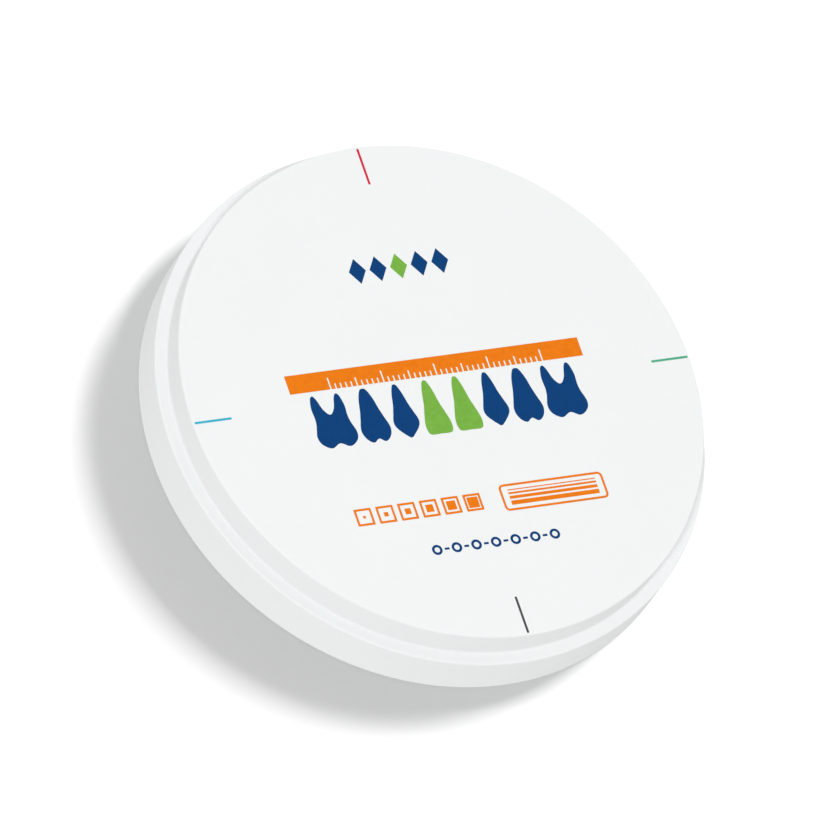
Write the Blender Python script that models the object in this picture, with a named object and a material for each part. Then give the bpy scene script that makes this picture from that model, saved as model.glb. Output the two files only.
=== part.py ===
"""Dental milling disc: a pressed, pre-sintered zirconia blank that crowns and bridges are cut from.

The disc is one piece. A round collar, which the milling machine's ring clamps, carries a
slightly smaller boss on its printed side. The step between them is the clamping ledge. The
disc lies on its plain side with the printed face up: +X points to the green tick, +Y to the
red one, and the origin is the centre of the underside.
"""

import math

import bmesh
import bpy
from mathutils.geometry import delaunay_2d_cdt

MM = 0.001

# Blank
COLLAR_DIAMETER = 98.5 * MM
COLLAR_THICKNESS = 8.4 * MM
LEDGE_WIDTH = 2.25 * MM
BOSS_HEIGHT = 5.6 * MM
FACE_EDGE_ROUND = 0.3 * MM
COLLAR_EDGE_ROUND = 0.3 * MM
UNDERSIDE_EDGE_ROUND = 0.4 * MM
FOOT_FILLET = 0.5 * MM
SEGMENTS = 160
ROUND_STEPS = 4

# Register ticks, one at each end of two crossed diameters
TICK_LENGTH = 6.9 * MM
TICK_WIDTH = 0.42 * MM
PRINT_EDGE_GAP = 0.1 * MM

# Lozenge row near the red tick
LOZENGE_WIDTH = 3.2 * MM
LOZENGE_HEIGHT = 4.8 * MM
LOZENGE_PITCH = 3.9 * MM
LOZENGE_ROW_Y = 23.9 * MM
LOZENGE_INKS = ("blue_ink", "blue_ink", "green_ink", "blue_ink", "blue_ink")

# Tooth row, which starts from the middle of the disc and is mirrored, roots towards the bar
TOOTH_HEIGHT = 10.2 * MM
TOOTH_GAP = 0.7 * MM
TOOTH_ROW_Y = -8.0 * MM
TOOTH_HALF_ROW = (
    ("incisor", 5.0 * MM, "green_ink"),
    ("canine", 4.9 * MM, "blue_ink"),
    ("premolar", 5.6 * MM, "blue_ink"),
    ("molar", 7.6 * MM, "blue_ink"),
)
CURVE_STEPS = 4

# Half of each tooth form, from the crown's edge up to the root, in widths and heights
TOOTH_FORMS = {
    "incisor": (
        (0, 0),
        (0.34, 0),
        (0.46, 0.05),
        (0.48, 0.2),
        (0.37, 0.42),
        (0.29, 0.56),
        (0.2, 0.8),
        (0.09, 0.97),
        (0, 1),
    ),
    "canine": (
        (0, 0),
        (0.15, 0.05),
        (0.41, 0.19),
        (0.48, 0.31),
        (0.38, 0.48),
        (0.29, 0.62),
        (0.2, 0.82),
        (0.09, 0.97),
        (0, 1),
    ),
    "premolar": (
        (0, 0.06),
        (0.2, 0),
        (0.4, 0.08),
        (0.49, 0.24),
        (0.39, 0.45),
        (0.32, 0.59),
        (0.23, 0.81),
        (0.11, 0.97),
        (0, 1),
    ),
    "molar": (
        (0, 0.07),
        (0.2, 0),
        (0.34, 0.03),
        (0.46, 0.12),
        (0.49, 0.25),
        (0.42, 0.44),
        (0.4, 0.57),
        (0.41, 0.75),
        (0.36, 0.93),
        (0.29, 0.98),
        (0.22, 0.91),
        (0.13, 0.71),
        (0, 0.61),
    ),
}

# Scale bar, whose graduations are left bare
BAR_LENGTH = 55.4 * MM
BAR_HEIGHT = 3.5 * MM
BAR_CENTRE_Y = 4.6 * MM
GRADUATION_WIDTH = 0.26 * MM
GRADUATION_PITCH = 1.0 * MM
GRADUATIONS = 41
GRADUATION_LENGTHS = {10: 2.2 * MM, 5: 1.6 * MM, 1: 1.0 * MM}

# Row of squares with growing cores, left of the layer box
SQUARE_SIDE = 3.2 * MM
SQUARE_PITCH = 4.1 * MM
SQUARE_COUNT = 6
SQUARE_ROW_X = -23.7 * MM
SQUARE_ROW_Y = -21.4 * MM
LEAST_CORE = 0.5 * MM
CORE_STEP = 0.3 * MM

# Layer box, a rounded outline round stripes that thicken downwards
BOX_LENGTH = 19.6 * MM
BOX_HEIGHT = 5.0 * MM
BOX_CORNER = 0.9 * MM
BOX_CENTRE_X = 13.6 * MM
BOX_CENTRE_Y = -21.4 * MM
LINE_WIDTH = 0.4 * MM
STRIPE_LENGTH = 16.6 * MM
STRIPE_GAP = 0.34 * MM
STRIPE_THICKNESSES = (0.2 * MM, 0.36 * MM, 0.55 * MM, 0.8 * MM)
CORNER_STEPS = 5

# Ring row near the grey tick
RING_OUTER_RADIUS = 0.95 * MM
RING_INNER_RADIUS = 0.5 * MM
RING_PITCH = 3.7 * MM
RING_COUNT = 7
RING_ROW_Y = -29.2 * MM
DASH_LENGTH = 0.9 * MM
DASH_HEIGHT = 0.4 * MM
RING_STEPS = 20

# Finishes: colour as red, green and blue from 0 to 255, and roughness
FINISHES = {
    "zirconia": ((244, 246, 246), 0.75),
    "blue_ink": ((22, 65, 127), 0.55),
    "green_ink": ((118, 182, 66), 0.55),
    "orange_ink": ((239, 127, 32), 0.55),
    "red_tick_ink": ((172, 60, 85), 0.55),
    "green_tick_ink": ((98, 170, 142), 0.55),
    "grey_tick_ink": ((80, 82, 84), 0.55),
    "blue_tick_ink": ((58, 164, 187), 0.55),
}
BARE = "zirconia"
SHARP_ANGLE = math.radians(30)

COLLAR_RADIUS = COLLAR_DIAMETER / 2
BOSS_RADIUS = COLLAR_RADIUS - LEDGE_WIDTH
TOTAL_HEIGHT = COLLAR_THICKNESS + BOSS_HEIGHT
FACE_RADIUS = BOSS_RADIUS - FACE_EDGE_ROUND
PRINT_RADIUS = FACE_RADIUS * math.cos(math.pi / SEGMENTS) - PRINT_EDGE_GAP


def clear_objects():
    for item in list(bpy.data.objects):
        bpy.data.objects.remove(item, do_unlink=True)


def linear(value):
    """A colour value from 0 to 255 as the linear value that a shader takes."""
    share = value / 255
    return share / 12.92 if share <= 0.04045 else ((share + 0.055) / 1.055) ** 2.4


def finish_material(name):
    colour, roughness = FINISHES[name]
    material = bpy.data.materials.new(name)
    material.use_nodes = True
    shader = material.node_tree.nodes["Principled BSDF"]
    shader.inputs["Base Color"].default_value = (*(linear(c) for c in colour), 1)
    shader.inputs["Roughness"].default_value = roughness
    shader.inputs["Metallic"].default_value = 0
    material.diffuse_color = shader.inputs["Base Color"].default_value
    return material


def arc(centre, radius, start, end, steps):
    """Points on an arc about centre, from the start angle to the end angle in degrees."""
    angles = [math.radians(start + (end - start) * i / steps) for i in range(steps + 1)]
    return [(centre[0] + radius * math.cos(a), centre[1] + radius * math.sin(a)) for a in angles]


def side_profile():
    """Radius and height from the underside's rim up the collar, the ledge and the boss."""
    foot = min(FOOT_FILLET, LEDGE_WIDTH - COLLAR_EDGE_ROUND)
    underside = (COLLAR_RADIUS - UNDERSIDE_EDGE_ROUND, UNDERSIDE_EDGE_ROUND)
    collar = (COLLAR_RADIUS - COLLAR_EDGE_ROUND, COLLAR_THICKNESS - COLLAR_EDGE_ROUND)
    inner = (BOSS_RADIUS + foot, COLLAR_THICKNESS + foot)
    face = (BOSS_RADIUS - FACE_EDGE_ROUND, TOTAL_HEIGHT - FACE_EDGE_ROUND)
    return (
        arc(underside, UNDERSIDE_EDGE_ROUND, -90, 0, ROUND_STEPS)
        + arc(collar, COLLAR_EDGE_ROUND, 0, 90, ROUND_STEPS)
        + arc(inner, foot, 270, 180, ROUND_STEPS)
        + arc(face, FACE_EDGE_ROUND, 0, 90, ROUND_STEPS)
    )


def rectangle(x, y, width, height):
    """A rectangle centred on x, y."""
    w, h = width / 2, height / 2
    return [(x - w, y - h), (x + w, y - h), (x + w, y + h), (x - w, y + h)]


def rounded_rectangle(x, y, width, height, corner):
    """A rectangle centred on x, y with an arc at each corner."""
    w, h = width / 2 - corner, height / 2 - corner
    points = []
    for start, cx, cy in ((180, -w, -h), (270, w, -h), (0, w, h), (90, -w, h)):
        points += arc((x + cx, y + cy), corner, start, start + 90, CORNER_STEPS)
    return points


def circle(x, y, radius):
    return arc((x, y), radius, 0, 360, RING_STEPS)[:-1]


def smooth_outline(points):
    """A closed Catmull-Rom curve through the points."""
    count = len(points)
    curve = []
    for i in range(count):
        a, b, c, d = (points[(i + k) % count] for k in (-1, 0, 1, 2))
        for step in range(CURVE_STEPS):
            t = step / CURVE_STEPS
            curve.append(
                tuple(
                    b[k]
                    + t * (c[k] - a[k]) / 2
                    + t * t * (a[k] - 2.5 * b[k] + 2 * c[k] - d[k] / 2)
                    + t * t * t * (b[k] * 1.5 - a[k] / 2 - c[k] * 1.5 + d[k] / 2)
                    for k in (0, 1)
                )
            )
    return curve


def register_ticks():
    """Four radial strokes that reach the edge of the printed face."""
    middle = PRINT_RADIUS - TICK_LENGTH / 2
    flat = (TICK_LENGTH, TICK_WIDTH)
    upright = (TICK_WIDTH, TICK_LENGTH)
    return [
        ("green_tick_ink", rectangle(middle, 0, *flat)),
        ("red_tick_ink", rectangle(0, middle, *upright)),
        ("blue_tick_ink", rectangle(-middle, 0, *flat)),
        ("grey_tick_ink", rectangle(0, -middle, *upright)),
    ]


def lozenge_row():
    marks = []
    for i, ink in enumerate(LOZENGE_INKS):
        x = (i - (len(LOZENGE_INKS) - 1) / 2) * LOZENGE_PITCH
        w, h = LOZENGE_WIDTH / 2, LOZENGE_HEIGHT / 2
        outline = [(x - w, 0), (x, -h), (x + w, 0), (x, h)]
        marks.append((ink, [(px, py + LOZENGE_ROW_Y) for px, py in outline]))
    return marks


def tooth_outline(form, x, width):
    """A tooth of the named form with its crown on the row's line and its middle at x."""
    half = TOOTH_FORMS[form]
    whole = list(half) + [(-u, v) for u, v in half[-2:0:-1]]
    return [(x + u * width, TOOTH_ROW_Y + v * TOOTH_HEIGHT) for u, v in smooth_outline(whole)]


def tooth_row():
    """Teeth side by side from the midline to the molars, the same on both sides."""
    marks = []
    edge = TOOTH_GAP / 2
    for form, width, ink in TOOTH_HALF_ROW:
        for side in (-1, 1):
            marks.append((ink, tooth_outline(form, side * (edge + width / 2), width)))
        edge += width + TOOTH_GAP
    return marks


def scale_bar():
    """An orange bar with bare graduations that rise from its lower edge."""
    marks = [("orange_ink", rectangle(0, BAR_CENTRE_Y, BAR_LENGTH, BAR_HEIGHT))]
    foot = BAR_CENTRE_Y - BAR_HEIGHT / 2
    for i in range(GRADUATIONS):
        x = (i - (GRADUATIONS - 1) / 2) * GRADUATION_PITCH
        length = next(size for every, size in GRADUATION_LENGTHS.items() if i % every == 0)
        marks.append((BARE, rectangle(x, foot + length / 2, GRADUATION_WIDTH, length)))
    return marks


def square_row():
    """Outlined squares, each with a filled core a step larger than the one before it."""
    marks = []
    inside = SQUARE_SIDE - 2 * LINE_WIDTH
    for i in range(SQUARE_COUNT):
        x = SQUARE_ROW_X + SQUARE_SIDE / 2 + i * SQUARE_PITCH
        core = LEAST_CORE + i * CORE_STEP
        marks.append(("orange_ink", rectangle(x, SQUARE_ROW_Y, SQUARE_SIDE, SQUARE_SIDE)))
        marks.append((BARE, rectangle(x, SQUARE_ROW_Y, inside, inside)))
        marks.append(("orange_ink", rectangle(x, SQUARE_ROW_Y, core, core)))
    return marks


def layer_box():
    """A rounded frame with stripes inside it that thicken downwards."""
    x, y = BOX_CENTRE_X, BOX_CENTRE_Y
    outside = rounded_rectangle(x, y, BOX_LENGTH, BOX_HEIGHT, BOX_CORNER)
    width, height = BOX_LENGTH - 2 * LINE_WIDTH, BOX_HEIGHT - 2 * LINE_WIDTH
    inside = rounded_rectangle(x, y, width, height, BOX_CORNER - LINE_WIDTH)
    marks = [("orange_ink", outside), (BARE, inside)]
    stack = sum(STRIPE_THICKNESSES) + STRIPE_GAP * (len(STRIPE_THICKNESSES) - 1)
    top = y + stack / 2
    for thickness in STRIPE_THICKNESSES:
        marks.append(("orange_ink", rectangle(x, top - thickness / 2, STRIPE_LENGTH, thickness)))
        top -= thickness + STRIPE_GAP
    return marks


def ring_row():
    """Small rings with a dash in each gap between them."""
    marks = []
    first = -(RING_COUNT - 1) / 2 * RING_PITCH
    for i in range(RING_COUNT):
        x = first + i * RING_PITCH
        marks.append(("blue_ink", circle(x, RING_ROW_Y, RING_OUTER_RADIUS)))
        marks.append((BARE, circle(x, RING_ROW_Y, RING_INNER_RADIUS)))
    for i in range(RING_COUNT - 1):
        x = first + (i + 0.5) * RING_PITCH
        marks.append(("blue_ink", rectangle(x, RING_ROW_Y, DASH_LENGTH, DASH_HEIGHT)))
    return marks


def within_face(point):
    """The point, or the nearest one to it that the print can reach on the round face."""
    distance = math.hypot(*point)
    share = min(1, PRINT_RADIUS / distance) if distance else 1
    return (point[0] * share, point[1] * share)


def print_marks():
    """Every printed field as its ink and its outline, which runs anticlockwise. A later field
    covers an earlier one."""
    marks = register_ticks() + lozenge_row() + tooth_row() + scale_bar()
    marks += square_row() + layer_box() + ring_row()
    return [(ink, [within_face(point) for point in outline]) for ink, outline in marks]


def spin_side(mesh):
    """The collar and the boss turned about Z, open above and below."""
    points = [mesh.verts.new((r, 0, z)) for r, z in side_profile()]
    edges = [mesh.edges.new(pair) for pair in zip(points, points[1:])]
    bmesh.ops.spin(
        mesh,
        geom=points + edges,
        cent=(0, 0, 0),
        axis=(0, 0, 1),
        angle=2 * math.pi,
        steps=SEGMENTS,
        use_merge=True,
    )


def rim_at(mesh, height):
    """The open edge's vertices at this height, in order round the axis."""
    found = {v for e in mesh.edges if e.is_boundary for v in e.verts}
    level = [v for v in found if abs(v.co.z - height) < 0.01 * MM]
    return sorted(level, key=lambda v: math.atan2(v.co.y, v.co.x))


def close_face(mesh, rim, slots):
    """The printed face: a flat disc split along the outlines of the print, one slot per ink."""
    marks = print_marks()
    points = [v.co.xy for v in rim]
    outlines = [list(range(len(rim)))]
    for _, outline in marks:
        outlines.append([len(points) + i for i in range(len(outline))])
        points += outline
    inside_only, merge_distance = 1, 1e-9
    split = delaunay_2d_cdt(points, [], outlines, inside_only, merge_distance)
    flat, _, faces, origins, _, covers = split
    corners = []
    for place, origin in zip(flat, origins):
        on_rim = [i for i in origin if i < len(rim)]
        corners.append(rim[on_rim[0]] if on_rim else mesh.verts.new((*place, TOTAL_HEIGHT)))
    for indices, cover in zip(faces, covers):
        face = mesh.faces.new([corners[i] for i in indices])
        top = max(cover)
        face.material_index = slots[marks[top - 1][0]] if top else slots[BARE]


def build_disc():
    """The whole blank as one closed body with its print on the face."""
    slots = {name: i for i, name in enumerate(FINISHES)}
    shape = bmesh.new()
    spin_side(shape)
    shape.faces.new(rim_at(shape, 0))
    close_face(shape, rim_at(shape, TOTAL_HEIGHT), slots)
    bmesh.ops.recalc_face_normals(shape, faces=shape.faces)
    data = bpy.data.meshes.new("milling_disc")
    shape.to_mesh(data)
    shape.free()
    for name in FINISHES:
        data.materials.append(finish_material(name))
    data.shade_smooth()
    data.set_sharp_from_angle(angle=SHARP_ANGLE)
    disc = bpy.data.objects.new("milling_disc", data)
    bpy.context.scene.collection.objects.link(disc)


clear_objects()
build_disc()
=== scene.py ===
"""Looks of the dental milling disc: the turned zirconia blank, the print on its face and the studio.

The disc lies on its plain side. Every length is in metres, and every piece sits in the frame
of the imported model: +Z up through the printed face, +X to the green tick, +Y to the red one.
"""

import math

import bpy
import numpy as np
from bpy.props import FloatProperty, FloatVectorProperty, IntProperty, PointerProperty
from mathutils import Matrix, Vector


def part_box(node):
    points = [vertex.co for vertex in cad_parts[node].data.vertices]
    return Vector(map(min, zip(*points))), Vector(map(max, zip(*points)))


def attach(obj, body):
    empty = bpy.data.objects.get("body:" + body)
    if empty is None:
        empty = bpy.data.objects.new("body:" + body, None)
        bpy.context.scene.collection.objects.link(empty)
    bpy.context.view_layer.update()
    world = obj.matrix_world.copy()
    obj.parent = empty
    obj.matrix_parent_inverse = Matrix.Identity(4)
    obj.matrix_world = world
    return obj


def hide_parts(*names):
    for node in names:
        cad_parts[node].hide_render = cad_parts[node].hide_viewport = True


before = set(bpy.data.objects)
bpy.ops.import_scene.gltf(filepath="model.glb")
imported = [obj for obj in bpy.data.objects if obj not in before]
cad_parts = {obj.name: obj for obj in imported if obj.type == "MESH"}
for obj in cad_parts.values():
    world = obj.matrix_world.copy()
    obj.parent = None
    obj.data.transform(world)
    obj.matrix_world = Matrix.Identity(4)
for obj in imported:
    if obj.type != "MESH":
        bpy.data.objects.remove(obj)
CAD_LOW, CAD_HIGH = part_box("milling_disc")
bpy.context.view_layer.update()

bl_info = {
    "name": "Dental milling disc",
    "version": (1, 0, 0),
    "blender": (4, 5, 0),
    "location": "3D View > Sidebar > Milling disc",
    "description": "Builds a printed zirconia milling blank and its studio",
    "category": "Object",
}

MM = 0.001
IMAGE_SIDE = 833
SENSOR_WIDTH = 36.0


def length(name, default, description):
    """A length property in metres, shown to a hundredth of a millimetre."""
    return FloatProperty(
        name=name, description=description, default=default, unit="LENGTH", precision=5
    )


def colour(name, default, description):
    """A colour property that holds linear red, green and blue."""
    return FloatVectorProperty(
        name=name, description=description, default=default, subtype="COLOR", min=0, max=1
    )


def angle(name, degrees, description):
    """An angle property whose default is given in degrees."""
    return FloatProperty(
        name=name, description=description, default=math.radians(degrees), subtype="ANGLE"
    )


def count(name, default, description):
    """A whole number of like things, at least one."""
    return IntProperty(name=name, description=description, default=default, min=1)


class BlankSettings(bpy.types.PropertyGroup):
    """Sizes and finish of the turned blank."""

    diameter: length("Collar diameter", CAD_HIGH.x - CAD_LOW.x, "Across the clamped collar")
    height: length("Height", CAD_HIGH.z, "From the underside to the top of the print")
    collar_thickness: length("Collar thickness", 8.4 * MM, "Underside to clamping ledge")
    ledge_width: length("Ledge width", 2.25 * MM, "Step between the collar and the boss")
    face_round: length("Face edge", 0.3 * MM, "Round along the printed face's edge")
    collar_round: length("Collar edge", 0.3 * MM, "Round along the ledge's outer edge")
    underside_round: length("Underside edge", 0.4 * MM, "Round along the underside's edge")
    foot_fillet: length("Foot fillet", 0.5 * MM, "Hollow at the foot of the boss")
    film: length("Ink film", 0.02 * MM, "Thickness of the printed ink")
    steps_round: count("Steps round", 720, "Facets round the disc")
    turning_pitch: length("Turning pitch", 0.24 * MM, "Distance between the lathe's marks")
    ceramic: colour("Zirconia", (0.832, 0.85, 0.848), "Chalky white of the unsintered blank")


class PrintSettings(bpy.types.PropertyGroup):
    """Sizes, places and inks of the marks on the face."""

    tick_length: length("Tick length", 6.9 * MM, "Length of a register tick")
    tick_width: length("Tick width", 0.42 * MM, "Width of a register tick")
    tick_margin: length("Tick margin", 0.1 * MM, "From a tick's end to the face's round")
    lozenge_width: length("Lozenge width", 3.2 * MM, "Width of one lozenge")
    lozenge_height: length("Lozenge height", 4.8 * MM, "Height of one lozenge")
    lozenge_pitch: length("Lozenge pitch", 3.9 * MM, "Distance between lozenges")
    lozenge_row: length("Lozenge row", 23.9 * MM, "Height of the row above the centre")
    tooth_height: length("Tooth height", 10.2 * MM, "From the crown's edge to the root")
    tooth_gap: length("Tooth gap", 0.7 * MM, "Gap between neighbouring teeth")
    tooth_row: length("Tooth row", -8.0 * MM, "Line that the crowns stand on")
    bar_length: length("Bar length", 55.4 * MM, "Length of the scale bar")
    bar_height: length("Bar height", 3.5 * MM, "Height of the scale bar")
    bar_row: length("Bar row", 4.6 * MM, "Middle line of the scale bar")
    slot_width: length("Slot width", 0.26 * MM, "Width of one bare graduation")
    slot_low: length("Low slot", 1.0 * MM, "Height of a plain graduation")
    slot_middle: length("Middle slot", 1.6 * MM, "Height of each fifth graduation")
    slot_tall: length("Tall slot", 2.2 * MM, "Height of each tenth graduation")
    square_side: length("Square side", 3.2 * MM, "Side of an outlined square")
    square_pitch: length("Square pitch", 4.1 * MM, "Distance between squares")
    square_start: length("Square start", -23.7 * MM, "Left edge of the first square")
    square_count: count("Squares", 6, "Squares in the row")
    core_least: length("Least core", 0.5 * MM, "Side of the first square's core")
    core_growth: length("Core growth", 0.3 * MM, "By which each core is wider than the last")
    symbol_row: length("Symbol row", -21.4 * MM, "Middle line of the squares and the box")
    box_length: length("Box length", 19.6 * MM, "Length of the layer box")
    box_height: length("Box height", 5.0 * MM, "Height of the layer box")
    box_centre: length("Box centre", 13.6 * MM, "Middle of the layer box, from the centre")
    box_corner: length("Box corner", 0.9 * MM, "Round at the layer box's corners")
    stripe_gap: length("Stripe gap", 0.34 * MM, "Gap between stripes in the layer box")
    stripe_margin: length("Stripe margin", 1.5 * MM, "From a stripe's end to the box's edge")
    line_width: length("Line width", 0.4 * MM, "Width of an outline")
    ring_pitch: length("Ring pitch", 3.7 * MM, "Distance between rings")
    ring_row: length("Ring row", -29.2 * MM, "Middle line of the rings")
    ring_count: count("Rings", 7, "Rings in the row")
    ring_radius: length("Ring radius", 0.95 * MM, "Outer radius of a ring")
    ring_hole: length("Ring hole", 0.5 * MM, "Inner radius of a ring")
    dash_length: length("Dash length", 0.9 * MM, "Length of the dash between two rings")
    blue: colour("Blue", (0.0014, 0.0468, 0.178), "Blue of the teeth, lozenges and rings")
    green: colour("Green", (0.178, 0.419, 0.056), "Green of the front teeth")
    orange: colour("Orange", (0.79, 0.188, 0.0046), "Orange of the bar, squares and box")
    red_tick: colour("Red tick", (0.63, 0.017, 0.05), "Ink of the tick at +Y")
    green_tick: colour("Green tick", (0.076, 0.397, 0.231), "Ink of the tick at +X")
    grey_tick: colour("Grey tick", (0.065, 0.069, 0.074), "Ink of the tick at -Y")
    blue_tick: colour("Blue tick", (0.033, 0.423, 0.577), "Ink of the tick at -X")


class StudioSettings(bpy.types.PropertyGroup):
    """Camera, floor and lights."""

    azimuth: angle("Azimuth", -49.414, "Camera's bearing round the disc")
    elevation: angle("Elevation", 54.266, "Camera's height above the horizon")
    roll: angle("Roll", 35.729, "Turn of the camera about its own axis")
    distance: length("Distance", 4.1937, "From the camera to the point that it looks at")
    aim: FloatVectorProperty(
        name="Aim",
        description="Point on the printed face in the middle of the picture",
        default=(-6.38 * MM, -4.27 * MM, 14.0 * MM),
        subtype="TRANSLATION",
        unit="LENGTH",
        precision=5,
    )
    focal_pixels: FloatProperty(
        name="Focal length in pixels",
        description="Focal length over the pixel size of the square picture",
        default=25000.0,
    )
    floor_radius: length("Floor radius", 3.0, "Radius of the round floor")
    floor_tone: colour("Floor", (0.85, 0.85, 0.85), "Pale floor")
    horizon: FloatProperty(name="Horizon", description="Light from low all round", default=0.871)
    near_side: FloatProperty(
        name="Near side", description="Light from above, from the camera's side", default=0.21
    )
    far_side: FloatProperty(
        name="Far side", description="Light from above, from behind the disc", default=1.22
    )
    key: FloatProperty(name="Key", description="Lamp that casts the shadow", default=100.0)
    fill: FloatProperty(name="Fill", description="Lamp beside the camera", default=124.0)


# Half of each tooth form, from the crown's edge up to the root, in widths and heights
TOOTH_FORMS = {
    "incisor": (
        (0, 0),
        (0.34, 0),
        (0.46, 0.05),
        (0.48, 0.2),
        (0.37, 0.42),
        (0.29, 0.56),
        (0.2, 0.8),
        (0.09, 0.97),
        (0, 1),
    ),
    "canine": (
        (0, 0),
        (0.15, 0.05),
        (0.41, 0.19),
        (0.48, 0.31),
        (0.38, 0.48),
        (0.29, 0.62),
        (0.2, 0.82),
        (0.09, 0.97),
        (0, 1),
    ),
    "premolar": (
        (0, 0.06),
        (0.2, 0),
        (0.4, 0.08),
        (0.49, 0.24),
        (0.39, 0.45),
        (0.32, 0.59),
        (0.23, 0.81),
        (0.11, 0.97),
        (0, 1),
    ),
    "molar": (
        (0, 0.07),
        (0.2, 0),
        (0.34, 0.03),
        (0.46, 0.12),
        (0.49, 0.25),
        (0.42, 0.44),
        (0.4, 0.57),
        (0.41, 0.75),
        (0.36, 0.93),
        (0.29, 0.98),
        (0.22, 0.91),
        (0.13, 0.71),
        (0, 0.61),
    ),
}
# Form, width and ink of the teeth from the middle of the row outwards
TOOTH_HALF_ROW = (
    ("incisor", 5.0 * MM, "green"),
    ("canine", 4.9 * MM, "blue"),
    ("premolar", 5.6 * MM, "blue"),
    ("molar", 7.6 * MM, "blue"),
)
# Heights of the layer box's stripes, from the top down
STRIPES = (0.2 * MM, 0.36 * MM, 0.55 * MM, 0.8 * MM)
# Rounds that the ink's own spread gives to printed corners
SQUARE_CORNER = 0.12 * MM
CORE_CORNER = 0.05 * MM
STROKE_CORNER = 0.08 * MM


def arc(centre, radius, start, end, steps):
    """Points centre + radius (cos a, sin a), with a in even steps from start to end degrees."""
    angles = np.radians(np.linspace(start, end, steps + 1))
    return np.column_stack((np.cos(angles), np.sin(angles))) * radius + centre


def blank_profile(blank):
    """Radius and height of the turned section, from the underside's middle to the face's.

    Each edge is a quarter arc. A point a short way along each flat beside it keeps the flat
    flat where the shading blends normals. Both ends stop halfway to the axis, because the
    middle of each side is one flat face.
    """
    rim = blank.diameter / 2
    boss = rim - blank.ledge_width
    ledge = blank.collar_thickness
    top = blank.height - blank.film
    under, collar = blank.underside_round, blank.collar_round
    foot, face = blank.foot_fillet, blank.face_round
    near = 0.06 * MM
    steps = 8
    return np.vstack(
        (
            [(rim * 0.5, 0), (rim - under - near, 0)],
            arc((rim - under, under), under, -90, 0, steps),
            [(rim, under + near), (rim, ledge - collar - near)],
            arc((rim - collar, ledge - collar), collar, 0, 90, steps),
            [(rim - collar - near, ledge), (boss + foot + near, ledge)],
            arc((boss + foot, ledge + foot), foot, 270, 180, steps),
            [(boss, ledge + foot + near), (boss, top - face - near)],
            arc((boss - face, top - face), face, 0, 90, steps),
            [(boss - face - near, top), (boss * 0.5, top)],
        )
    )


def wall(rings, after_last):
    """Quads between neighbouring closed rings, as corner numbers.

    rings is an array of ring, place on the ring and x, y, z. Corner j of ring i is number
    i n + j, with n places on a ring. after_last joins the last ring back to the first.
    """
    ring_count, around = rings.shape[:2]
    here = np.arange(around)
    after = np.roll(here, -1)
    low = np.arange(ring_count)[:, None] * around
    high = np.roll(low, -1, axis=0)
    quads = np.stack((low + here, low + after, high + after, high + here), axis=-1)
    return quads[: ring_count if after_last else ring_count - 1].reshape(-1, 4).tolist()


def closed_skin(rings):
    """A wall of quads through the rings, closed by one flat face at each end."""
    ring_count, around = rings.shape[:2]
    first = list(range(around))[::-1]
    last = list(range((ring_count - 1) * around, ring_count * around))
    return rings.reshape(-1, 3), wall(rings, False) + [first, last]


def closed_band(rings):
    """A wall of quads whose last ring is joined back to the first."""
    return rings.reshape(-1, 3), wall(rings, True)


def joined(shapes):
    """Several shapes as one, each one's corner numbers moved past those before it."""
    starts = np.cumsum([0] + [len(points) for points, _ in shapes])
    faces = [
        [corner + int(start) for corner in face]
        for (_, own), start in zip(shapes, starts)
        for face in own
    ]
    return np.vstack([points for points, _ in shapes]), faces


def rounded_outline(x, y, width, height, corner):
    """A rectangle about x, y with a quarter arc at each corner, anticlockwise."""
    w, h = width / 2 - corner, height / 2 - corner
    centres = ((180, -w, -h), (270, w, -h), (0, w, h), (90, -w, h))
    arcs = [arc((x + cx, y + cy), corner, a, a + 90, steps=6) for a, cx, cy in centres]
    return np.vstack(arcs)


def smooth_outline(control, steps):
    """A closed Catmull-Rom curve through the control points, in even steps between them.

    Between points b and c, with a before and d after, it is
    b + t (c - a)/2 + t^2 (a - 5b/2 + 2c - d/2) + t^3 (3b/2 - a/2 - 3c/2 + d/2).
    """
    b = np.asarray(control, float)[:, None, :]
    a, c, d = np.roll(b, 1, axis=0), np.roll(b, -1, axis=0), np.roll(b, -2, axis=0)
    t = (np.arange(steps) / steps)[None, :, None]
    bend = t**2 * (a - 2.5 * b + 2 * c - d / 2) + t**3 * (1.5 * (b - c) + (d - a) / 2)
    return (b + t * (c - a) / 2 + bend).reshape(-1, 2)


def inset(outline, by):
    """The outline moved inwards by a distance along its own normals.

    The normal at a point is the chord between its neighbours turned a quarter left.
    """
    chord = np.roll(outline, -1, axis=0) - np.roll(outline, 1, axis=0)
    normal = np.column_stack((-chord[:, 1], chord[:, 0]))
    return outline + by * normal / np.linalg.norm(normal, axis=1)[:, None]


def at_height(outline, z):
    """The flat outline as points x, y, z, all at the one height."""
    return np.column_stack((outline, np.full(len(outline), z)))


def film(blank, outline):
    """A field of ink: the outline raised by the film's thickness, with a soft shoulder.

    The shoulder slopes at 45 degrees over the upper half of the thickness.
    """
    top, face = blank.height, blank.height - blank.film
    soft = blank.film / 2
    levels = [
        at_height(outline, face),
        at_height(outline, top - soft),
        at_height(inset(outline, soft), top),
    ]
    return closed_skin(np.array(levels))


def stroke_band(blank, outer, inner):
    """A closed line of ink between two outlines that have as many points as each other."""
    top, face = blank.height, blank.height - blank.film
    levels = [
        at_height(outer, face),
        at_height(outer, top),
        at_height(inner, top),
        at_height(inner, face),
    ]
    return closed_band(np.array(levels))


def framed(blank, x, y, width, height, corner, line):
    """A rounded frame: a stroke between a rectangle and the same one a line's width inside."""
    outer = rounded_outline(x, y, width, height, corner)
    inner_corner = max(corner - line, corner / 4)
    inner = rounded_outline(x, y, width - 2 * line, height - 2 * line, inner_corner)
    return stroke_band(blank, outer, inner)


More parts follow.
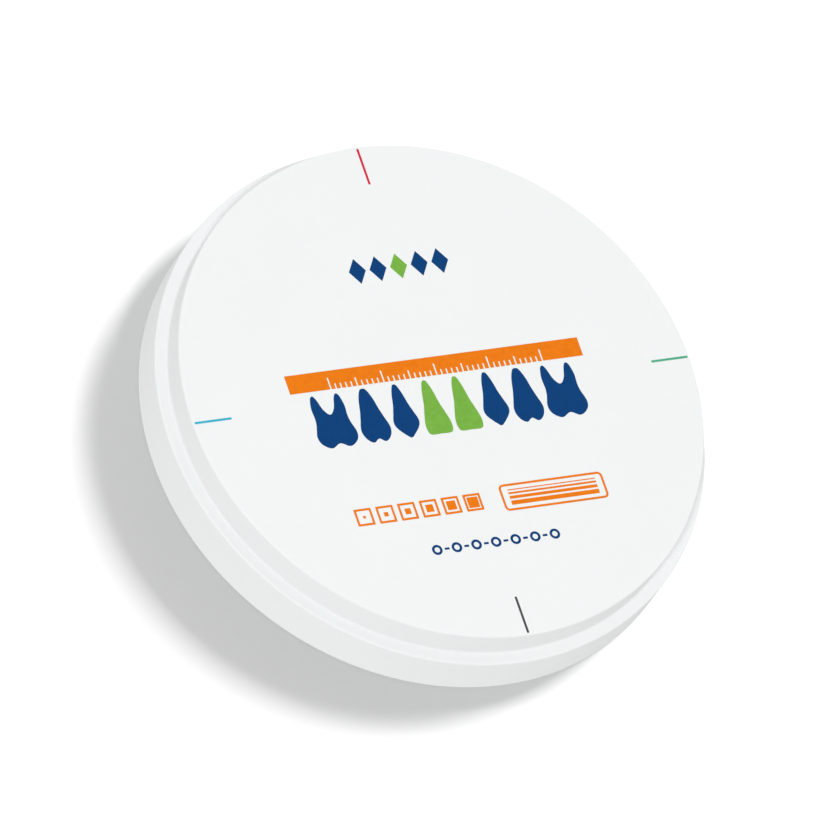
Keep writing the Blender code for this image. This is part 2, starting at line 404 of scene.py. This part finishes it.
def make_piece(name, shape, material):
    """One object at the origin with the shape as its mesh, riding on the disc's only body."""
    points, faces = shape
    mesh = bpy.data.meshes.new(name)
    mesh.from_pydata(points.tolist(), [], faces)
    mesh.shade_smooth()
    mesh.set_sharp_from_angle(angle=math.radians(40))
    mesh.materials.append(material)
    piece = bpy.data.objects.new(name, mesh)
    bpy.context.scene.collection.objects.link(piece)
    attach(piece, "root")
    return piece


def new_material(name):
    """A node material, with its nodes, its link function and its Principled shader."""
    material = bpy.data.materials.new(name)
    material.use_nodes = True
    nodes = material.node_tree.nodes
    return material, nodes, material.node_tree.links.new, nodes["Principled BSDF"]


def noise(nodes, link, place, size, detail=2.0):
    """Noise whose cells are about size metres across, on object coordinates."""
    node = nodes.new("ShaderNodeTexNoise")
    node.inputs["Scale"].default_value = 1 / size
    node.inputs["Detail"].default_value = detail
    link(place, node.inputs["Vector"])
    return node.outputs["Fac"]


def ramp(nodes, link, value, low, high, first, last):
    """Maps value from the range low to high onto the range first to last."""
    node = nodes.new("ShaderNodeMapRange")
    limits = {"From Min": low, "From Max": high, "To Min": first, "To Max": last}
    for socket, number in limits.items():
        node.inputs[socket].default_value = number
    link(value, node.inputs["Value"])
    return node.outputs["Result"]


def spread(nodes, link, value, first, last):
    """Maps noise, which lies mostly between 0.3 and 0.7, onto the range first to last."""
    return ramp(nodes, link, value, 0.3, 0.7, first, last)


def math_node(nodes, link, operation, first, second=0.0):
    """The result of one Math node on two numbers or sockets."""
    node = nodes.new("ShaderNodeMath")
    node.operation = operation
    for socket, value in zip(node.inputs, (first, second)):
        if isinstance(value, (int, float)):
            socket.default_value = value
        else:
            link(value, socket)
    return node.outputs["Value"]


def tinted(nodes, link, base, share):
    """The base colour times a share that varies over the surface."""
    mix = nodes.new("ShaderNodeMix")
    mix.data_type = "RGBA"
    mix.blend_type = "MULTIPLY"
    mix.inputs["Factor"].default_value = 1.0
    mix.inputs["A"].default_value = (*base, 1)
    link(share, mix.inputs["B"])
    return mix.outputs["Result"]


def bump(nodes, link, height, distance, strength):
    """Normals of a relief whose height of one stands for the given distance."""
    node = nodes.new("ShaderNodeBump")
    node.inputs["Distance"].default_value = distance
    node.inputs["Strength"].default_value = strength
    link(height, node.inputs["Height"])
    return node.outputs["Normal"]


def turned_rings(nodes, link, place, pitch):
    """The lathe's marks: sin(2 pi (radius + height) / pitch), so they run round faces and walls."""
    apart = nodes.new("ShaderNodeSeparateXYZ")
    link(place, apart.inputs["Vector"])
    across = math_node(nodes, link, "POWER", apart.outputs["X"], 2.0)
    along = math_node(nodes, link, "POWER", apart.outputs["Y"], 2.0)
    radius = math_node(nodes, link, "SQRT", math_node(nodes, link, "ADD", across, along))
    travel = math_node(nodes, link, "ADD", radius, apart.outputs["Z"])
    phase = math_node(nodes, link, "MULTIPLY", travel, 2 * math.pi / pitch)
    return math_node(nodes, link, "SINE", phase)


def ceramic_material(blank):
    """Chalky pressed zirconia: faint clouds, fine powder grain and the lathe's shallow rings."""
    material, nodes, link, shader = new_material("chalky_zirconia")
    place = nodes.new("ShaderNodeTexCoord").outputs["Object"]
    clouds = spread(nodes, link, noise(nodes, link, place, size=14 * MM), 0.992, 1.0)
    powder = noise(nodes, link, place, size=0.35 * MM, detail=4.0)
    powder = spread(nodes, link, powder, 0.985, 1.0)
    share = math_node(nodes, link, "MULTIPLY", clouds, powder)
    link(tinted(nodes, link, blank.ceramic, share), shader.inputs["Base Color"])
    rings = turned_rings(nodes, link, place, blank.turning_pitch)
    rings = math_node(nodes, link, "MULTIPLY", rings, 0.12)
    grain = noise(nodes, link, place, size=0.12 * MM, detail=3.0)
    relief = math_node(nodes, link, "ADD", grain, rings)
    link(bump(nodes, link, relief, 0.01 * MM, 0.35), shader.inputs["Normal"])
    rough = spread(nodes, link, noise(nodes, link, place, size=2 * MM), 0.7, 0.82)
    link(rough, shader.inputs["Roughness"])
    shader.inputs["Specular IOR Level"].default_value = 0.3
    shader.inputs["Subsurface Weight"].default_value = 0.12
    shader.inputs["Subsurface Radius"].default_value = (1.0, 0.95, 0.85)
    shader.inputs["Subsurface Scale"].default_value = 0.4 * MM
    return material


def ink_material(name, base):
    """Pad-printed ink: a thin satin film that is a little patchy and follows the grain."""
    material, nodes, link, shader = new_material(name)
    place = nodes.new("ShaderNodeTexCoord").outputs["Object"]
    patches = noise(nodes, link, place, size=0.8 * MM, detail=3.0)
    patches = spread(nodes, link, patches, 0.94, 1.06)
    link(tinted(nodes, link, base, patches), shader.inputs["Base Color"])
    grain = noise(nodes, link, place, size=0.12 * MM, detail=3.0)
    link(bump(nodes, link, grain, 0.008 * MM, 0.3), shader.inputs["Normal"])
    rough = spread(nodes, link, noise(nodes, link, place, size=0.5 * MM), 0.46, 0.6)
    link(rough, shader.inputs["Roughness"])
    shader.inputs["Specular IOR Level"].default_value = 0.06
    return material


def ink(name):
    """The named ink of the print, made once and then shared."""
    base = getattr(bpy.context.scene.disc_print, name)
    return bpy.data.materials.get(f"{name}_ink") or ink_material(f"{name}_ink", tuple(base))


class MILLING_DISC_OT_blank(bpy.types.Operator):
    """Turn the blank: collar, clamping ledge and boss"""

    bl_idname = "milling_disc.blank"
    bl_label = "Blank"

    def execute(self, context):
        """The point at profile step i and angle a is (r_i cos a, r_i sin a, z_i)."""
        blank = context.scene.disc_blank
        profile = blank_profile(blank)
        angles = np.linspace(0, 2 * math.pi, blank.steps_round, endpoint=False)
        rings = np.stack(
            (
                profile[:, 0, None] * np.cos(angles),
                profile[:, 0, None] * np.sin(angles),
                np.broadcast_to(profile[:, 1, None], (len(profile), len(angles))),
            ),
            axis=-1,
        )
        shape = closed_skin(rings)
        piece = make_piece("zirconia_blank", shape, ceramic_material(blank))
        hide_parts("milling_disc")
        return {"FINISHED"}


class MILLING_DISC_OT_ticks(bpy.types.Operator):
    """Print the four register ticks"""

    bl_idname = "milling_disc.ticks"
    bl_label = "Register ticks"

    def execute(self, context):
        """Each tick is a rounded bar on an axis, with its outer end at the flat face's edge."""
        blank, marks = context.scene.disc_blank, context.scene.disc_print
        edge = blank.diameter / 2 - blank.ledge_width - blank.face_round - marks.tick_margin
        middle = edge - marks.tick_length / 2
        flat, upright = (marks.tick_length, marks.tick_width), (marks.tick_width, marks.tick_length)
        ticks = (
            ("green_tick", middle, 0, flat),
            ("red_tick", 0, middle, upright),
            ("blue_tick", -middle, 0, flat),
            ("grey_tick", 0, -middle, upright),
        )
        for name, x, y, (width, height) in ticks:
            outline = rounded_outline(x, y, width, height, marks.tick_width / 4)
            make_piece(name, film(blank, outline), ink(name))
        return {"FINISHED"}


class MILLING_DISC_OT_lozenges(bpy.types.Operator):
    """Print the row of five lozenges"""

    bl_idname = "milling_disc.lozenges"
    bl_label = "Lozenge row"

    def execute(self, context):
        """Each side is a straight run between two tips, and the middle lozenge is green."""
        blank, marks = context.scene.disc_blank, context.scene.disc_print
        tips = np.array([(-marks.lozenge_width, 0), (0, -marks.lozenge_height)]) / 2
        tips = np.vstack((tips, -tips))
        share = np.linspace(0, 1, 6, endpoint=False)[None, :, None]
        sides = tips[:, None] + share * (np.roll(tips, -1, axis=0) - tips)[:, None]
        outline = sides.reshape(-1, 2)
        places = (np.arange(5) - 2) * marks.lozenge_pitch
        shapes = [film(blank, outline + (x, marks.lozenge_row)) for x in places]
        make_piece("blue_lozenges", joined(shapes[:2] + shapes[3:]), ink("blue"))
        make_piece("green_lozenge", shapes[2], ink("green"))
        return {"FINISHED"}


class MILLING_DISC_OT_teeth(bpy.types.Operator):
    """Print the row of upper teeth"""

    bl_idname = "milling_disc.teeth"
    bl_label = "Tooth row"

    def execute(self, context):
        """Each outline is a smooth closed curve through a form's half and its mirror image."""
        blank, marks = context.scene.disc_blank, context.scene.disc_print
        shapes = {"blue": [], "green": []}
        edge = marks.tooth_gap / 2
        for form, width, name in TOOTH_HALF_ROW:
            half = np.array(TOOTH_FORMS[form], float)
            whole = np.vstack((half, half[-2:0:-1] * (-1, 1)))
            outline = smooth_outline(whole, steps=10) * (width, marks.tooth_height)
            for side in (-1, 1):
                place = (side * (edge + width / 2), marks.tooth_row)
                shapes[name].append(film(blank, outline + place))
            edge += width + marks.tooth_gap
        make_piece("blue_teeth", joined(shapes["blue"]), ink("blue"))
        make_piece("green_teeth", joined(shapes["green"]), ink("green"))
        return {"FINISHED"}


class MILLING_DISC_OT_scale(bpy.types.Operator):
    """Print the scale bar with its bare graduations"""

    bl_idname = "milling_disc.scale"
    bl_label = "Scale bar"

    def execute(self, context):
        """The outline is a comb: an oblong whose lower edge steps up and down at each slot.

        The slots are a millimetre apart, 20 on each side of the middle one, and higher at each
        fifth and tenth.
        """
        blank, marks = context.scene.disc_blank, context.scene.disc_print
        number = np.arange(-20, 21)
        centres = number * MM
        tall = np.where(number % 5 == 0, marks.slot_middle, marks.slot_low)
        tall = np.where(number % 10 == 0, marks.slot_tall, tall)
        half, end = marks.slot_width / 2, marks.bar_length / 2
        foot = marks.bar_row - marks.bar_height / 2
        head = marks.bar_row + marks.bar_height / 2
        across = np.stack((centres - half, centres - half, centres + half, centres + half), axis=-1)
        rise = np.stack((0 * tall, tall, tall, 0 * tall), axis=-1) + foot
        slots = np.column_stack((across.ravel(), rise.ravel()))
        outline = np.vstack(([(-end, foot)], slots, [(end, foot), (end, head), (-end, head)]))
        make_piece("scale_bar", film(blank, outline), ink("orange"))
        return {"FINISHED"}


class MILLING_DISC_OT_squares(bpy.types.Operator):
    """Print the outlined squares with growing cores"""

    bl_idname = "milling_disc.squares"
    bl_label = "Square row"

    def execute(self, context):
        """Square i has a core as wide as the least one plus i times the growth."""
        blank, marks = context.scene.disc_blank, context.scene.disc_print
        y, side = marks.symbol_row, marks.square_side
        shapes = []
        for i in range(marks.square_count):
            x = marks.square_start + side / 2 + i * marks.square_pitch
            core = marks.core_least + i * marks.core_growth
            shapes.append(framed(blank, x, y, side, side, SQUARE_CORNER, marks.line_width))
            shapes.append(film(blank, rounded_outline(x, y, core, core, CORE_CORNER)))
        make_piece("graded_squares", joined(shapes), ink("orange"))
        return {"FINISHED"}


class MILLING_DISC_OT_layers(bpy.types.Operator):
    """Print the rounded box with stripes that thicken downwards"""

    bl_idname = "milling_disc.layers"
    bl_label = "Layer box"

    def execute(self, context):
        """The stripes and the gaps between them are stacked about the box's middle line."""
        blank, marks = context.scene.disc_blank, context.scene.disc_print
        x, y, gap = marks.box_centre, marks.symbol_row, marks.stripe_gap
        size = (marks.box_length, marks.box_height)
        box = framed(blank, x, y, *size, marks.box_corner, marks.line_width)
        thick = np.array(STRIPES)
        top = y + (thick.sum() + gap * (len(thick) - 1)) / 2
        middles = top - np.cumsum(thick + gap) + gap + thick / 2
        wide = marks.box_length - 2 * marks.stripe_margin
        outlines = [rounded_outline(x, m, wide, t, STROKE_CORNER) for m, t in zip(middles, thick)]
        stripes = [film(blank, outline) for outline in outlines]
        make_piece("layer_box", joined([box] + stripes), ink("orange"))
        return {"FINISHED"}


class MILLING_DISC_OT_rings(bpy.types.Operator):
    """Print the row of small rings and dashes"""

    bl_idname = "milling_disc.rings"
    bl_label = "Ring row"

    def execute(self, context):
        """A ring lies between two circles, and a dash lies midway between two rings."""
        blank, marks = context.scene.disc_blank, context.scene.disc_print
        y = marks.ring_row
        places = (np.arange(marks.ring_count) - (marks.ring_count - 1) / 2) * marks.ring_pitch
        outer = arc((0, y), marks.ring_radius, 0, 360, steps=48)[:-1]
        inner = arc((0, y), marks.ring_hole, 0, 360, steps=48)[:-1]
        shapes = [stroke_band(blank, outer + (x, 0), inner + (x, 0)) for x in places]
        for x in (places[:-1] + places[1:]) / 2:
            dash = rounded_outline(x, y, marks.dash_length, marks.line_width, STROKE_CORNER)
            shapes.append(film(blank, dash))
        make_piece("ring_row", joined(shapes), ink("blue"))
        return {"FINISHED"}


def back_direction(azimuth, elevation):
    """Unit vector from the disc towards a viewer. Azimuth 0 looks along +Y."""
    level = math.cos(elevation)
    return Vector((math.sin(azimuth) * level, -math.cos(azimuth) * level, math.sin(elevation)))


def add_lamp(name, lit, power, azimuth, elevation, distance, side):
    """A square soft lamp at a bearing and height, which lights the given objects alone.

    It is turned to the disc and isn't seen itself.
    """
    lamp = bpy.data.lights.new(name, "AREA")
    lamp.size = side
    lamp.energy = power
    item = bpy.data.objects.new(name, lamp)
    back = back_direction(math.radians(azimuth), math.radians(elevation))
    item.matrix_world = Matrix.LocRotScale(back * distance, back.to_track_quat("Z", "Y"), None)
    item.visible_camera = False
    bpy.context.scene.collection.objects.link(item)
    targets = bpy.data.collections.new(f"lit_by_{name}")
    for target in lit:
        targets.objects.link(target)
    item.light_linking.receiver_collection = targets


def add_floor(studio):
    """A flat round sheet just under the disc: rings of shrinking radius about the origin.

    It throws no light back on the disc and no shadow, so the collar has no dark foot: there
    the surround's light comes up through it.
    """
    under = 0.01 * MM
    angles = np.linspace(0, 2 * math.pi, 96, endpoint=False)
    radii = np.array((1.0, 0.3, 0.1)) * studio.floor_radius
    circle = np.column_stack((np.cos(angles), np.sin(angles), 0 * angles))
    rings = radii[:, None, None] * circle - (0, 0, under)
    points = rings.reshape(-1, 3)
    middle = list(range(len(points) - len(angles), len(points)))
    mesh = bpy.data.meshes.new("floor")
    mesh.from_pydata(points.tolist(), [], wall(rings, False) + [middle])
    material, _, _, shader = new_material("pale_floor")
    shader.inputs["Base Color"].default_value = (*studio.floor_tone, 1)
    shader.inputs["Roughness"].default_value = 0.9
    shader.inputs["Specular IOR Level"].default_value = 0.0
    mesh.materials.append(material)
    floor = bpy.data.objects.new("floor", mesh)
    floor.visible_diffuse = floor.visible_glossy = floor.visible_shadow = False
    bpy.context.scene.collection.objects.link(floor)
    return floor


def add_surround(studio):
    """White walls near the floor, which fade into a ceiling that is brighter on one side.

    Where d is the direction's share towards the camera's bearing, from -1 to 1, the ceiling
    changes evenly with d. The walls fade into it from the horizon to about 15 degrees up,
    where the direction's z is 0.26.
    """
    world = bpy.data.worlds.new("studio")
    world.use_nodes = True
    nodes, link = world.node_tree.nodes, world.node_tree.links.new
    direction = nodes.new("ShaderNodeTexCoord").outputs["Generated"]
    towards = nodes.new("ShaderNodeVectorMath")
    towards.operation = "DOT_PRODUCT"
    link(direction, towards.inputs[0])
    towards.inputs[1].default_value = back_direction(studio.azimuth, 0)
    share = towards.outputs["Value"]
    ceiling = ramp(nodes, link, share, -1, 1, studio.far_side, studio.near_side)
    apart = nodes.new("ShaderNodeSeparateXYZ")
    link(direction, apart.inputs["Vector"])
    glow = ramp(nodes, link, apart.outputs["Z"], 0, 0.26, studio.horizon, 0)
    link(ceiling, glow.node.inputs["To Max"])
    link(glow, nodes["Background"].inputs["Strength"])
    nodes["Background"].inputs["Color"].default_value = (1, 1, 1, 1)
    bpy.context.scene.world = world


def add_camera(studio):
    """A long lens at the given bearing, height and distance, rolled about its own axis."""
    lens = bpy.data.cameras.new("camera")
    lens.sensor_width = SENSOR_WIDTH
    lens.lens = studio.focal_pixels * SENSOR_WIDTH / IMAGE_SIDE
    lens.clip_start, lens.clip_end = 0.1, 20.0
    camera = bpy.data.objects.new("camera", lens)
    back = back_direction(studio.azimuth, studio.elevation)
    turn = back.to_track_quat("Z", "Y") @ Matrix.Rotation(studio.roll, 3, "Z").to_quaternion()
    place = Vector(studio.aim) + back * studio.distance
    camera.matrix_world = Matrix.LocRotScale(place, turn, None)
    bpy.context.scene.collection.objects.link(camera)
    bpy.context.scene.camera = camera


class MILLING_DISC_OT_stage(bpy.types.Operator):
    """Set up the floor, the lamps, the surround and the camera"""

    bl_idname = "milling_disc.stage"
    bl_label = "Stage"

    def execute(self, context):
        """The key stands behind the disc, to one side, and the fill stands below the camera.

        The key lights the floor alone and the fill the disc alone, so that the ledge isn't in
        the boss's shadow and only one shadow falls on the floor.
        """
        studio = context.scene.disc_studio
        disc = [item for item in context.scene.objects if item.type == "MESH"]
        floor = [add_floor(studio)]
        add_surround(studio)
        add_lamp("key", floor, studio.key, azimuth=116, elevation=38, distance=3.0, side=0.75)
        add_lamp("fill", disc, studio.fill, azimuth=-49.5, elevation=49, distance=5.0, side=1.1)
        add_camera(studio)
        context.scene.view_settings.view_transform = "Standard"
        return {"FINISHED"}


OPERATORS = (
    MILLING_DISC_OT_blank,
    MILLING_DISC_OT_ticks,
    MILLING_DISC_OT_lozenges,
    MILLING_DISC_OT_teeth,
    MILLING_DISC_OT_scale,
    MILLING_DISC_OT_squares,
    MILLING_DISC_OT_layers,
    MILLING_DISC_OT_rings,
    MILLING_DISC_OT_stage,
)
GROUPS = {
    "disc_blank": BlankSettings,
    "disc_print": PrintSettings,
    "disc_studio": StudioSettings,
}


class MILLING_DISC_PT_panel(bpy.types.Panel):
    """Sizes, colours and the steps that build the disc"""

    bl_idname = "MILLING_DISC_PT_panel"
    bl_label = "Milling disc"
    bl_space_type = "VIEW_3D"
    bl_region_type = "UI"
    bl_category = "Milling disc"

    def draw(self, context):
        for operator in OPERATORS:
            self.layout.operator(operator.bl_idname)
        for name, group in GROUPS.items():
            box = self.layout.box()
            for setting in group.__annotations__:
                box.prop(getattr(context.scene, name), setting)


def register():
    for item in (*GROUPS.values(), *OPERATORS, MILLING_DISC_PT_panel):
        bpy.utils.register_class(item)
    for name, group in GROUPS.items():
        setattr(bpy.types.Scene, name, PointerProperty(type=group))


def unregister():
    for name in GROUPS:
        delattr(bpy.types.Scene, name)
    for item in (MILLING_DISC_PT_panel, *reversed(OPERATORS), *GROUPS.values()):
        bpy.utils.unregister_class(item)


def main():
    """Build the disc and its studio in order."""
    register()
    steps = bpy.ops.milling_disc
    steps.blank()
    steps.ticks()
    steps.lozenges()
    steps.teeth()
    steps.scale()
    steps.squares()
    steps.layers()
    steps.rings()
    steps.stage()
    bpy.context.view_layer.update()


if __name__ == "__main__":
    main()
